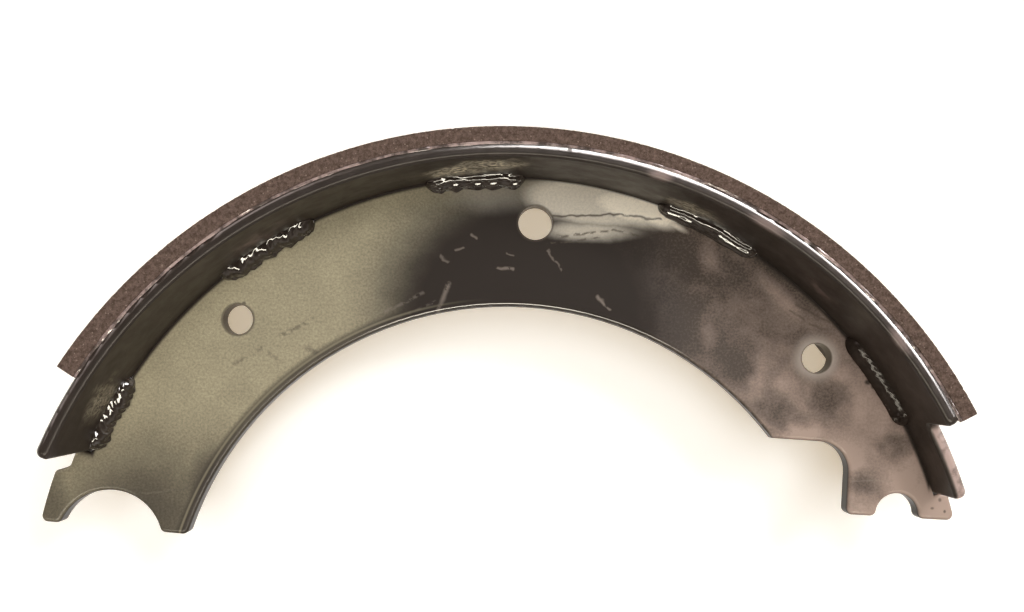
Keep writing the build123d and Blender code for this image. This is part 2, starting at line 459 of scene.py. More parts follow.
def sweep(
    name: str, layout: Layout, radius: float, rows_per_mm: float, section: Callable[[float], list[Vector]]
) -> bpy.types.Object:
    """Carry a closed outline round the arc of the lining and close both ends.

    Args:
        name: the object's name.
        layout: the arcs of the shoe.
        radius: the radius at which the rows are counted.
        rows_per_mm: how many rows there are to a millimetre.
        section: gives the outline's points at an angle.

    Returns:
        The new object.
    """
    start, end = layout.lining_heel_angle, layout.lining_toe_angle
    rows = round(radians(end - start) * radius * rows_per_mm)
    points = [point for row in range(rows + 1) for point in section(start + (end - start) * row / rows)]
    count = len(points) // (rows + 1)
    faces = grid_faces(rows + 1, count, ring=True)
    faces.append(tuple(range(count)))
    faces.append(tuple(reversed(range(rows * count, (rows + 1) * count))))
    return make_mesh(name, points, faces)


# ---------------------------------------------------------------- finishes


@dataclass(frozen=True)
class Canvas:
    """What a finish paints on: a graph, the shared node groups and the position in millimetres."""

    graph: Graph
    effects: Effects
    place: Value

    def at(self, place: Value) -> "Canvas":
        """The same canvas at another position."""
        return Canvas(self.graph, self.effects, place)

    def effect(self, tree: bpy.types.NodeTree, inputs: dict, output: str) -> Value:
        """What a node group gives at this position."""
        return self.graph.group(tree, {"Position": self.place, **inputs}, output)

    def arc(self, centre: Vector) -> tuple[Value, Value]:
        """The radius and the angle about an axis along Z."""
        inputs = {"Centre": tuple(centre)}
        return tuple(self.effect(self.effects.arc, inputs, name) for name in ("Radius", "Angle"))

    def specks(self, size: float, share: float, strength: float) -> Value:
        """A mask of scattered specks."""
        return self.effect(self.effects.specks, {"Size": size, "Share": share}, "Mask") * strength

    def strongest(self, marks: "tuple[Patch | Scratch, ...]") -> Value:
        """The highest of several marks. Each is taken in as soon as it is made, so few are held at once."""
        result = marks[0].mask(self)
        for mark in marks[1:]:
            result = self.graph.math("MAXIMUM", result, mark.mask(self))
        return result


@dataclass(frozen=True)
class Patch:
    """A soft patch of tone in a plane, by its middle, its half sizes and its turn."""

    x: float
    y: float
    reach_x: float
    reach_y: float
    strength: float = 1.0
    turn: float = 0.0
    softness: float = 0.95
    ragged: float = 2.0

    def mask(self, canvas: Canvas) -> Value:
        """The patch's mask, times its strength."""
        inputs = {
            "Centre": (self.x, self.y, 0.0),
            "Reach": (self.reach_x, self.reach_y, 1.0),
            "Turn": radians(-self.turn),
            "Softness": self.softness,
            "Ragged": self.ragged,
        }
        return canvas.effect(canvas.effects.patch, inputs, "Mask") * self.strength


@dataclass(frozen=True)
class Scratch:
    """A scratch or a run of marks in a plane, from one point to another."""

    start: tuple[float, float]
    end: tuple[float, float]
    width: float = 0.3
    broken: float = 0.4
    strength: float = 1.0

    def mask(self, canvas: Canvas) -> Value:
        """The scratch's mask, times its strength."""
        inputs = {
            "Start": (*self.start, 0.0),
            "End": (*self.end, 0.0),
            "Width": self.width,
            "Broken": self.broken,
        }
        return canvas.effect(canvas.effects.stroke, inputs, "Mask") * self.strength


@dataclass(frozen=True)
class Finish:
    """A finish, by its name. Each kind of finish sets the inputs of one Principled shader."""

    name: str

    def build(self, effects: Effects) -> bpy.types.Material:
        """Make the material.

        Args:
            effects: the shared node groups.

        Returns:
            The material.
        """
        material = bpy.data.materials.new(self.name)
        material.use_nodes = True
        graph = Graph(material.node_tree)
        shader = material.node_tree.nodes["Principled BSDF"].inputs
        for key, value in {**self.constants(), **self.paint(Canvas(graph, effects, graph.place()))}.items():
            graph.feed(shader[key], value)
        return material

    def constants(self) -> dict[str, float]:
        """The shader's inputs that have one value all over."""
        return {}

    def paint(self, canvas: Canvas) -> dict[str, Value]:
        """The shader's inputs that vary.

        Args:
            canvas: what the finish paints on.

        Returns:
            What goes into each input, by the input's name.
        """
        raise NotImplementedError


@dataclass(frozen=True)
class PaintFinish(Finish):
    """Sprayed black paint, with the haze that lies on it."""

    colour: Colour = (0.032, 0.0235, 0.018)
    worn: Colour = (0.075, 0.055, 0.043)
    speck: Colour = (0.16, 0.12, 0.1)
    specular: float = 0.08
    roughness: float = 0.3
    haze_rise: float = 0.12
    haze_cloud: Grain = Grain(5.0, 4.0, 0.6)
    cloud_range: Span = (0.3, 0.7)
    film: Grain = Grain(4.0, 4.0, 0.6)
    film_range: Span = (0.45, 0.75)
    film_wear: float = 0.5
    specks: Speckle = (0.7, 0.05, 0.5)
    peel: float = 0.006
    sag: float = 0.05
    dust: float = 0.02
    coat: float = 1.0
    coat_roughness: float = 0.12
    coat_ior: float = 1.5

    def constants(self) -> dict[str, float]:
        """The paint's values that are the same all over."""
        return {
            "Coat Weight": self.coat,
            "Coat Roughness": self.coat_roughness,
            "Coat IOR": self.coat_ior,
            "Specular IOR Level": self.specular,
        }

    def relief(self, canvas: Canvas) -> Value:
        """The normal of the paint's skin."""
        inputs = {"Peel": self.peel, "Sag": self.sag, "Dust": self.dust}
        return canvas.graph.bump(canvas.effect(canvas.effects.skin, inputs, "Height"))

    def haze(self, canvas: Canvas) -> Value:
        """The roughness of the paint."""
        cloud = canvas.graph.noise(canvas.place, self.haze_cloud)
        levels = (self.roughness, self.roughness + self.haze_rise)
        return canvas.graph.ramp(cloud, *self.cloud_range, *levels)

    def paint(self, canvas: Canvas) -> dict[str, Value]:
        """Plain paint, as on the welds."""
        graph = canvas.graph
        film = graph.noise(canvas.place, self.film)
        tone = graph.blend(graph.ramp(film, *self.film_range, 0.0, self.film_wear), self.colour, self.worn)
        tone = graph.blend(canvas.specks(*self.specks), tone, self.speck)
        return {"Base Color": tone, "Normal": self.relief(canvas), "Roughness": self.haze(canvas)}


@dataclass(frozen=True)
class WebFinish(PaintFinish):
    """The web's paint: black gloss under painted reflections, greenish on the heel half and mottled on the
    toe half, with plain gloss between.
    """

    # olive_reflection: the colour of the painted reflection of the room on the heel half.
    olive_reflection: Colour = (0.36, 0.312, 0.197)
    # cream_reflection: a painted reflection of a bright thing, in a wedge beside the crown hole.
    cream_reflection: Colour = (0.98, 0.88, 0.70)
    # painted_dark_line: the colour of painted dark lines at the edges of the painted reflections and of the
    # painted shade round the holes.
    painted_dark_line: Colour = (0.09, 0.07, 0.05)
    scuff: Colour = (0.13, 0.11, 0.075)
    # mauve_dark and mauve_light bound the painted mottled reflection on the toe half; halo_tone is its pale
    # halo round the toe-end hole.
    mauve_dark: Colour = (0.07, 0.051, 0.038)
    mauve_light: Colour = (0.43, 0.315, 0.25)
    halo_tone: Colour = (0.5, 0.42, 0.35)
    fleck: Colour = (0.3, 0.24, 0.19)
    haze_coat: float = 0.15
    haze_roughness: float = 0.55
    clear: float = 0.6
    clear_blur: float = 0.4
    edge_coat: float = 0.06
    # Width, strength and fade of the painted dark reflection along the inner edge, and of the painted
    # highlight line in it.
    edge_shade: float = 3.0
    edge_strength: float = 0.85
    edge_fade: Span = (-24.0, -2.0)
    edge_highlight_width: float = 0.4
    edge_highlight_strength: float = 0.5
    halves: Span = (5.0, 25.0)
    front_face: Span = (0.8, 0.15)
    lower_face: Span = (0.02, 0.1)
    heel_end: Span = (1.2, 0.2)
    toe_end: float = 1.5
    grain: Grain = Grain(0.5, 2.0, 0.75)
    grain_range: Span = (0.2, 0.8)
    grain_levels: Span = (0.74, 1.26)
    cloud: Grain = Grain(6.0, 3.0)
    cloud_levels: Span = (0.94, 1.06)
    cream_reflection_levels: Span = (0.88, 1.1)
    toe_run: Span = (15.0, 150.0)
    toe_levels: Span = (0.09, 1.1)
    toe_cloud: Span = (-0.18, 0.14)
    toe_grain: Span = (-0.12, 0.14)
    toe_grain_range: Span = (0.25, 0.75)

    gloss: Patch = Patch(6.0, 5.0, 40.0, 38.4, 1.0, 0.0, 0.45, 3.0)
    # heel_shade: painted shade that darkens the painted reflection towards the anchor end.
    heel_shade: tuple[Patch, ...] = (
        Patch(-74, -36, 32, 27, 0.86, 8, 0.95, 4),
        Patch(-93, -34, 9, 14, 0.74, 0, 0.9, 3),
        Patch(-50, -20, 14, 4.5, 0.5, 50),
        Patch(-61.5, -29, 8.5, 17, 0.8, -22, 0.95, 3),
    )
    # Dark blotches in the painted mottled reflection on the toe half.
    blotches: tuple[Patch, ...] = (
        Patch(37.5, 20, 10, 8, 0.95, -20, 0.95, 7),
        Patch(39.2, 6, 6, 9, 1, 0, 0.8, 7),
        Patch(50.5, 13.5, 6.5, 6, 0.85, 0, 0.95, 7),
        Patch(49.4, -4.5, 6.5, 8.5, 1, 10, 0.85, 7),
        Patch(58.6, -14.8, 7, 6, 0.85, -30, 0.95, 8),
        Patch(69.2, -12, 6, 7.5, 0.75, 0, 0.95, 8),
        Patch(84, -21.8, 6, 5.2, 0.75, 0, 0.95, 8),
        Patch(76.6, -29.6, 6.6, 5, 0.85, 0, 0.9, 6),
        Patch(57, 4, 6, 4, 0.35, -40),
        Patch(63, -16, 4, 3, 0.5),
    )
    # Light spots in the painted mottled reflection on the toe half.
    light_spots: tuple[Patch, ...] = (
        Patch(44.3, 17.5, 3.5, 6, 0.3, 10),
        Patch(44, 2, 2.8, 7, 0.32, 10),
        Patch(54.3, -8.5, 3, 6, 0.24),
        Patch(59.5, -8.7, 3.5, 4.5, 0.3),
        Patch(85, -28.6, 4, 3.4, 0.4, 0, 0.95, 1),
        Patch(71.4, -6.8, 4.5, 4, 0.3),
        Patch(75.5, -13, 4, 6, 0.25),
        Patch(57.5, 11, 14, 2.6, 0.42, -42, 0.95, 1),
        Patch(72, -22.5, 7, 3, 0.25, -10, 0.95, 1),
        Patch(90, -34, 8, 7, 0.5, 0, 0.95, 1),
        Patch(64, -18.8, 7.5, 3.2, 0.6, 4, 0.95, 1.5),
        Patch(73, -25.2, 6, 4.5, 0.45, -30, 0.95, 1.5),
        Patch(80.5, -16.5, 4.5, 5.5, 0.28, 0, 0.95, 1.5),
    )
    # A pale painted halo round the toe-end hole.
    halo: Patch = Patch(66.4, -3.3, 5.9, 5.9, 0.9, 0.0, 0.55, 0.4)
    # The wedge of painted pale reflection beside the crown hole.
    cream_reflection_patches: tuple[Patch, ...] = (
        Patch(20, 29.2, 17.5, 6, 0.66, -7, 0.4, 1.2),
        Patch(27, 28.2, 13, 5, 1, -14, 0.75, 1.2),
        Patch(32, 27.2, 8, 3.8, 1, -22, 0.6, 1),
        Patch(36.5, 24.6, 4.5, 1, 0.7, -28, 0.8, 0.6),
        Patch(19, 23.2, 14, 2.8, 0.6, -2, 0.8, 1.6),
        Patch(-1, 30.5, 13, 5, 0.16, 0, 0.9, 1.5),
    )
    # Painted dark lines along the edges of the painted reflections, where ripples in the paint break them.
    reflection_contours: tuple[Scratch, ...] = (
        Scratch((11.5, 26.2), (25.3, 26.6), 0.45, 0.25, 0.9),
        Scratch((25.3, 26.6), (34, 25.6), 0.4, 0.3, 0.8),
        Scratch((12.2, 22), (24, 23.4), 0.5, 0.42, 0.8),
        Scratch((24, 23.4), (33, 21.5), 0.5, 0.42, 0.7),
        Scratch((10.5, 20.5), (21, 21.8), 0.45, 0.45, 0.7),
        Scratch((62, 8), (69, 4), 0.5, 0.3, 0.6),
        Scratch((61, 6.6), (67.5, 2.6), 0.4, 0.35, 0.6),
        Scratch((63, 9.6), (70, 5.6), 0.4, 0.35, 0.5),
    )
    scuffs: tuple[Scratch, ...] = (
        Scratch((-45.3, 1.3), (-38.6, 4.7), 0.8, 0.42, 0.7),
        Scratch((-58.2, -6.6), (-49.1, -1.2), 0.7, 0.46, 0.55),
        Scratch((-39.6, -1), (-37.8, -2.2), 0.9, 0.3, 0.6),
        Scratch((-74.1, -31.6), (-64.1, -30.4), 0.35, 0.25, 0.8),
        Scratch((-47.5, -2.4), (-46, -3.4), 0.8, 0.3, 0.5),
    )
    flecks: tuple[Scratch, ...] = (
        Scratch((-11.8, 18), (-10.3, 16.8), 0.5, 0.3, 0.43),
        Scratch((-5.4, 22.4), (-4.2, 21.8), 0.45, 0.3, 0.58),
        Scratch((-8.6, 19.3), (-7.2, 19.6), 0.4, 0.3, 0.5),
        Scratch((0, 15.6), (3.2, 15.1), 0.45, 0.35, 0.65),
        Scratch((2.2, 18.7), (3.4, 18.2), 0.4, 0.3, 0.5),
        Scratch((-10.1, 12.2), (-12.2, 6.8), 0.75, 0.3, 0.58),
        Scratch((-25, 5.6), (-15.6, 10.2), 0.6, 0.44, 0.32),
        Scratch((-22, 4.4), (-13, 8.4), 0.5, 0.46, 0.29),
        Scratch((21, 9.6), (22.2, 7.8), 0.6, 0.2, 0.72),
        Scratch((22.2, 7.8), (23.4, 6.8), 0.5, 0.3, 0.65),
        Scratch((10.6, 19.2), (13.4, 14.6), 0.35, 0.4, 0.5),
        Scratch((73.7, -28.9), (82.5, -28.7), 0.3, 0.3, 0.36),
        Scratch((73.5, -33.5), (75.6, -35.4), 0.3, 0.3, 0.43),
    )
    # Painted shade on the rolled edges of the three holes, and a small dark nick beside the heel-side hole.
    hole_edge_shade: tuple[Patch, ...] = (
        Patch(-54.06, 4.77, 3.75, 3.75, 0.8, 0, 0.12, 0.15),
        Patch(-52.9, 7.9, 0.6, 0.9, 0.8, -30, 0.5, 0.3),
        Patch(7.92, 24.9, 4.1, 4.1, 0.7, 0, 0.1, 0.15),
        Patch(66.56, -3.33, 3.4, 3.4, 0.75, 0, 0.08, 0.1),
    )
    # Small dark dots painted on the toe half of the web.
    dark_dots: tuple[Patch, ...] = (
        Patch(77.2, -8.3, 0.9, 0.8, 0.9, 0, 0.7, 0.3),
        Patch(78.3, -9.2, 0.7, 0.7, 0.8, 0, 0.7, 0.3),
        Patch(92.2, -32.9, 0.5, 0.6, 0.6, 0, 0.7, 0.3),
        Patch(90.6, -34.6, 0.55, 0.4, 0.6, 0, 0.7, 0.3),
        Patch(93.2, -35.3, 0.4, 0.5, 0.7, 0, 0.7, 0.3),
    )

    def paint(self, canvas: Canvas) -> dict[str, Value]:
        """The paint with its painted reflections, which lie on the web's front face and stay clear of the
        rim.
        """
        graph, layout = canvas.graph, Layout()
        x, y, z = graph.parts(canvas.place)
        radius, angle = canvas.arc(layout.rim_centre)
        depth = layout.rim_inner_radius - radius
        corner = graph.ramp(depth, self.clear - self.clear_blur, self.clear + self.clear_blur)
        heel = [layout.rim_heel_angle - past for past in self.heel_end]
        past_heel = graph.ramp(angle, *heel, 1.0, 0.0)
        corner = graph.math("MAXIMUM", corner, past_heel)
        past_toe = graph.ramp(angle, layout.tongue_end_angle - self.toe_end, layout.tongue_end_angle)
        corner = graph.math("MAXIMUM", corner, past_toe)
        grain = graph.noise(canvas.place, self.grain)
        cloud = graph.noise(canvas.place, self.cloud)

        top = graph.ramp(z, *[layout.web_top - down for down in self.front_face])
        # haze: where the painted reflections lie, away from the plain gloss in the middle, the rim's corner
        # and the faces below the front.
        haze = (1.0 - self.gloss.mask(canvas)) * corner * top
        tone = self.heel_tone(canvas, grain, cloud)
        toe = self.toe_tone(canvas, x - y, grain, cloud)
        tone = graph.blend(graph.ramp(x, *self.halves), tone, toe)
        tone = graph.blend(haze, self.colour, tone)

        # The painted pale reflection, only on the front face and clear of the rim's corner.
        cream_reflection = canvas.strongest(self.cream_reflection_patches) * top
        cream_reflection = cream_reflection * graph.ramp(grain, *self.grain_range, *self.cream_reflection_levels)
        cream_reflection = cream_reflection * graph.ramp(depth, 0.0, self.clear)
        tone = graph.blend(cream_reflection, tone, self.cream_reflection)
        # Painted dark lines, flecks, dark dots and painted shade round the holes, laid over the tone.
        marks = {self.reflection_contours: self.painted_dark_line, self.flecks: self.fleck}
        marks.update({self.dark_dots: self.colour, self.hole_edge_shade: self.painted_dark_line})
        for group, colour in marks.items():
            tone = graph.blend(canvas.strongest(group), tone, colour)
        # A painted dark reflection along the inner edge, with a painted highlight line in it.
        band, line = self.painted_edge_reflection(canvas, layout)
        tone = graph.blend(band, tone, self.colour)
        tone = graph.blend(line, tone, self.olive_reflection)

        dull = graph.math("MAXIMUM", haze, cream_reflection)
        coat = graph.ramp(dull, 0.0, 1.0, self.coat, self.haze_coat) * top
        low = layout.web_top - layout.web_thickness
        under = graph.ramp(z, *[low + up for up in self.lower_face], self.coat, self.edge_coat)
        return {
            "Base Color": tone,
            "Coat Weight": graph.math("MAXIMUM", coat, under),
            "Normal": self.relief(canvas),
            "Roughness": graph.ramp(dull, 0.0, 0.8, self.roughness, self.haze_roughness),
        }

    def heel_tone(self, canvas: Canvas, grain: Value, cloud: Value) -> Value:
        """The painted reflection of the room on the heel half, darker towards the anchor end, and scuffed.

        Args:
            canvas: what the finish paints on.
            grain: fine noise.
            cloud: coarse noise.

        Returns:
            The colour.
        """
        graph = canvas.graph
        shade = canvas.strongest(self.heel_shade)
        level = graph.ramp(grain, *self.grain_range, *self.grain_levels)
        level = level * graph.ramp(cloud, *self.cloud_range, *self.cloud_levels)
        tone = graph.blend(shade, self.olive_reflection, self.colour)
        tone = graph.blend(canvas.strongest(self.scuffs), tone, self.scuff)
        return graph.scale(tone, level)

    def toe_tone(self, canvas: Canvas, along: Value, grain: Value, cloud: Value) -> Value:
        """The painted mottled reflection on the toe half, lighter towards the adjuster end, with a pale
        painted halo round the toe-end hole.

        Args:
            canvas: what the finish paints on.
            along: how far towards the adjuster end it is.
            grain: fine noise.
            cloud: coarse noise.

        Returns:
            The colour.
        """
        graph = canvas.graph
        level = graph.ramp(along, *self.toe_run, *self.toe_levels)
        level = level + graph.ramp(cloud, *self.cloud_range, *self.toe_cloud)
        level = level + canvas.strongest(self.light_spots)
        level = level * (1.0 - canvas.strongest(self.blotches))
        mottle = graph.ramp(grain, *self.toe_grain_range, *self.toe_grain)
        level = graph.math("ADD", level, mottle, clamp=True)
        tone = graph.blend(level, self.mauve_dark, self.mauve_light)
        return graph.blend(self.halo.mask(canvas), tone, self.halo_tone)

    def painted_edge_reflection(self, canvas: Canvas, layout: Layout) -> tuple[Value, Value]:
        """A painted dark reflection along the inner edge on the heel side, where the die has rolled the
        plate, with a painted highlight line in it.

        Args:
            canvas: what the finish paints on.
            layout: the arcs of the shoe.

        Returns:
            The masks of the painted dark band and of the painted highlight line in it.
        """
        graph = canvas.graph
        radius, angle = canvas.arc(layout.web_inner_centre)
        above = radius - layout.web_inner_radius
        heel = graph.ramp(angle, *self.edge_fade, 1.0, 0.0)
        band = graph.ramp(above, self.edge_shade * 0.45, self.edge_shade, 1.0, 0.0)
        off_line = graph.math("ABSOLUTE", above - self.edge_shade * 0.5)
        line = graph.ramp(off_line, 0.0, self.edge_highlight_width, self.edge_highlight_strength, 0.0)
        return band * heel * self.edge_strength, line * heel


@dataclass(frozen=True)
class RimFinish(PaintFinish):
    """The rim's paint: glossy on its outer edge, duller on its inner face."""

    inner_coat: float = 0.06
    wear: Colour = (0.5, 0.37, 0.32)
    # weld_reflection_tone and wall_reflection_tone colour painted reflections on the rim's inner face;
    # edge_highlight_tone colours painted highlights along its inner edge.
    weld_reflection_tone: Colour = (1.0, 0.9, 0.66)
    wall_reflection_tone: Colour = (0.24, 0.175, 0.155)
    edge_highlight_tone: Colour = (0.45, 0.33, 0.29)
    arc_mm: float = 1.63
    outer_face: Span = (1.3, 2.0)
    inner_face: Span = (0.15, 0.5)
    outer_edge: Span = (1.5, 0.8)
    tongue_wear: Span = (0.3, 1.3)
    film: Grain = Grain(3.0, 4.0, 0.6)
    film_wear: float = 0.2
    weld_reflection_breaks: Grain = Grain(1.1, 3.0, 0.6, 0.6)
    wall_reflection_breaks: Grain = Grain(4.0, 3.0, 0.6, 0.6)
    break_range: Span = (0.32, 0.68)
    worn_depth: Span = (0.3, 0.9)
    worn_film: Span = (0.3, 0.5)
    worn_levels: Span = (0.45, 1.0)
    # Painted reflections of welds 3, 4 and 1 in the rim's inner face.
    painted_weld_reflections: tuple[Patch, ...] = (
        Patch(-9.5, 36.5, 9, 8, 1, 0, 0.95, 9),
        Patch(-2.5, 40.5, 9, 8, 1, 0, 0.95, 9),
        Patch(39, 36, 8, 6.5, 0.65, 0, 0.95, 9),
        Patch(-97, 37, 7, 9, 0.4, 0, 0.95, 9),
    )
    # Faint painted reflections on the rim's inner face, one towards each end.
    painted_wall_reflections: tuple[Patch, ...] = (
        Patch(-52, 38, 11, 7, 0.6, 0, 0.95, 8),
        Patch(69, 37, 6, 4.5, 0.5, 0, 0.9, 5),
    )
    # Painted highlights on the inner rounded edge of the rim's front face.
    rim_edge_highlights: tuple[Patch, ...] = (
        Patch(29.2, 0.8, 3.2, 1.2, 0.5, 0, 0.8, 0.8),
        Patch(51, 0.8, 5.2, 1.2, 0.42, 0, 0.8, 0.8),
        Patch(84, 0.8, 4.2, 1.1, 0.4, 0, 0.8, 0.8),
    )
    seam: Patch = Patch(11.85, 2.0, 0.55, 3.0, 1.0, 0.0, 0.5, 0.2)

    def paint(self, canvas: Canvas) -> dict[str, Value]:
        """The paint over the rim, with painted reflections on its inner face and painted highlights along the
        inner edge of its front face, whose marks are placed by the distance along its arc.
        """
        graph, layout = canvas.graph, Layout()
        radius, angle = canvas.arc(layout.rim_centre)
        height = graph.parts(canvas.place)[2]
        out = radius - layout.rim_inner_radius
        along = angle * self.arc_mm
        across = canvas.at(graph.join(along, out))
        unrolled = canvas.at(graph.join(along, height))
        outer = graph.ramp(out, *self.outer_face) * (1.0 - self.seam.mask(across))

        film = graph.noise(canvas.place, self.film)
        tone = graph.blend(graph.ramp(film, *self.film_range, 0.0, self.film_wear), self.colour, self.worn)
        wall = graph.ramp(out, *self.inner_face, 1.0, 0.0)
        # Painted reflections on the rim's inner face, broken up by noise.
        painted_weld_reflections = (self.painted_weld_reflections, self.weld_reflection_tone, self.weld_reflection_breaks)
        painted_wall_reflections = (self.painted_wall_reflections, self.wall_reflection_tone, self.wall_reflection_breaks)
        for marks, colour, breaks in (painted_weld_reflections, painted_wall_reflections):
            mask = unrolled.strongest(marks)
            broken = graph.ramp(graph.noise(canvas.place, breaks), *self.break_range)
            tone = graph.blend(mask * broken * wall, tone, colour)
        # Painted highlights along the inner edge of the front face.
        near_edge = graph.ramp(height, *[layout.shoe_width - down for down in self.outer_edge])
        edge = across.strongest(self.rim_edge_highlights) * near_edge
        tone = graph.blend(edge, tone, self.edge_highlight_tone)
        tongue = graph.ramp(angle, *[layout.rim_toe_angle + past for past in self.tongue_wear])
        worn = tongue * graph.ramp(out, *self.worn_depth)
        worn = worn * graph.ramp(film, *self.worn_film, *self.worn_levels)
        return {
            "Base Color": graph.blend(worn, tone, self.wear),
            "Coat Weight": graph.math("MAXIMUM", outer, self.inner_coat),
            "Normal": self.relief(canvas),
            "Roughness": self.haze(canvas),
        }


@dataclass(frozen=True)
class LiningFinish(Finish):
    """Moulded friction material, brown-grey and granular, ground on its outer face."""

    dark: Colour = (0.07, 0.047, 0.037)
    light: Colour = (0.197, 0.136, 0.108)
    fleck: Colour = (0.38, 0.28, 0.22)
    roughness: float = 0.75
    coarse: Grain = Grain(1.0, 6.0, 0.85)
    coarse_range: Span = (0.32, 0.68)
    dark_specks: Speckle = (0.5, 0.16, 0.75)
    light_specks: Speckle = (0.42, 0.07, 0.6)
    fine: Grain = Grain(0.35, 3.0, 0.7)
    grain_height: float = 0.06
    pits: Speckle = (0.6, 0.3, 0.05)

    def constants(self) -> dict[str, float]:
        """The material is dull all over."""
        return {"Roughness": self.roughness, "Specular IOR Level": 0.0}

    def paint(self, canvas: Canvas) -> dict[str, Value]:
        """The grains, the dark and light specks and the pits."""
        graph = canvas.graph
        coarse = graph.noise(canvas.place, self.coarse)
        tone = graph.blend(graph.ramp(coarse, *self.coarse_range), self.dark, self.light)
        tone = graph.blend(canvas.specks(*self.dark_specks), tone, self.dark)
        tone = graph.blend(canvas.specks(*self.light_specks), tone, self.fleck)
        fine = graph.noise(canvas.place, self.fine) * self.grain_height
        return {"Base Color": tone, "Normal": graph.bump(fine - canvas.specks(*self.pits))}


@dataclass(frozen=True)
class AdhesiveFinish(Finish):
    """The film of adhesive that squeezes out between rim and lining."""

    dark: Colour = (0.08, 0.055, 0.045)
    light: Colour = (0.48, 0.345, 0.305)
    coat_roughness: float = 0.2
    cloud: Grain = Grain(3.0, 4.0, 0.65)
    tone_range: Span = (0.35, 0.65)
    gloss_range: Span = (0.3, 0.7)
    gloss_levels: Span = (0.25, 0.5)
    peel: float = 0.01
    sag: float = 0.05
    dust: float = 0.01

    def constants(self) -> dict[str, float]:
        """The film is glossy all over."""
        return {"Coat Weight": 1.0, "Coat Roughness": self.coat_roughness, "Specular IOR Level": 0.0}

    def paint(self, canvas: Canvas) -> dict[str, Value]:
        """The clouded colour and gloss, and the uneven skin."""
        graph = canvas.graph
        cloud = graph.noise(canvas.place, self.cloud)
        skin = {"Peel": self.peel, "Sag": self.sag, "Dust": self.dust}
        height = canvas.effect(canvas.effects.skin, skin, "Height")
        return {
            "Base Color": graph.blend(graph.ramp(cloud, *self.tone_range), self.dark, self.light),
            "Roughness": graph.ramp(cloud, *self.gloss_range, *self.gloss_levels),
            "Normal": graph.bump(height),
        }


# ---------------------------------------------------------------- pieces


@dataclass(frozen=True)
class BeadShape:
    """Where a weld runs along the rim, and how strong its ripples, lumps and ridges are."""

    start_angle: float
    end_angle: float
    ripple_height: float
    lump_height: float
    toe_roll: float = 0.3
    ridge_height: float = 0.0
    ridges: float = 3.0
    crater_angle: float | None = None
    glossy: bool = True


@dataclass(frozen=True)
class Drift:
    """Smooth noise over a weld, by its strength, its pace along and across the weld and its seed."""

    strength: float
    pace: float
    spread: float = 0.0
    start: float = 0.0
    seed: float = 1.0

    def at(self, along: float, across: float, number: int, shift: int = 0) -> float:
        """The noise at a place on the weld with a given number."""
        place = (along * self.pace, self.start + across * self.spread, self.seed * number + shift)
        return self.strength * noise.noise(Vector(place))


def hump(value: float, middle: float, width: float) -> float:
    """A smooth hump, which is 1 at its middle."""
    return exp(-(((value - middle) / width) ** 2))


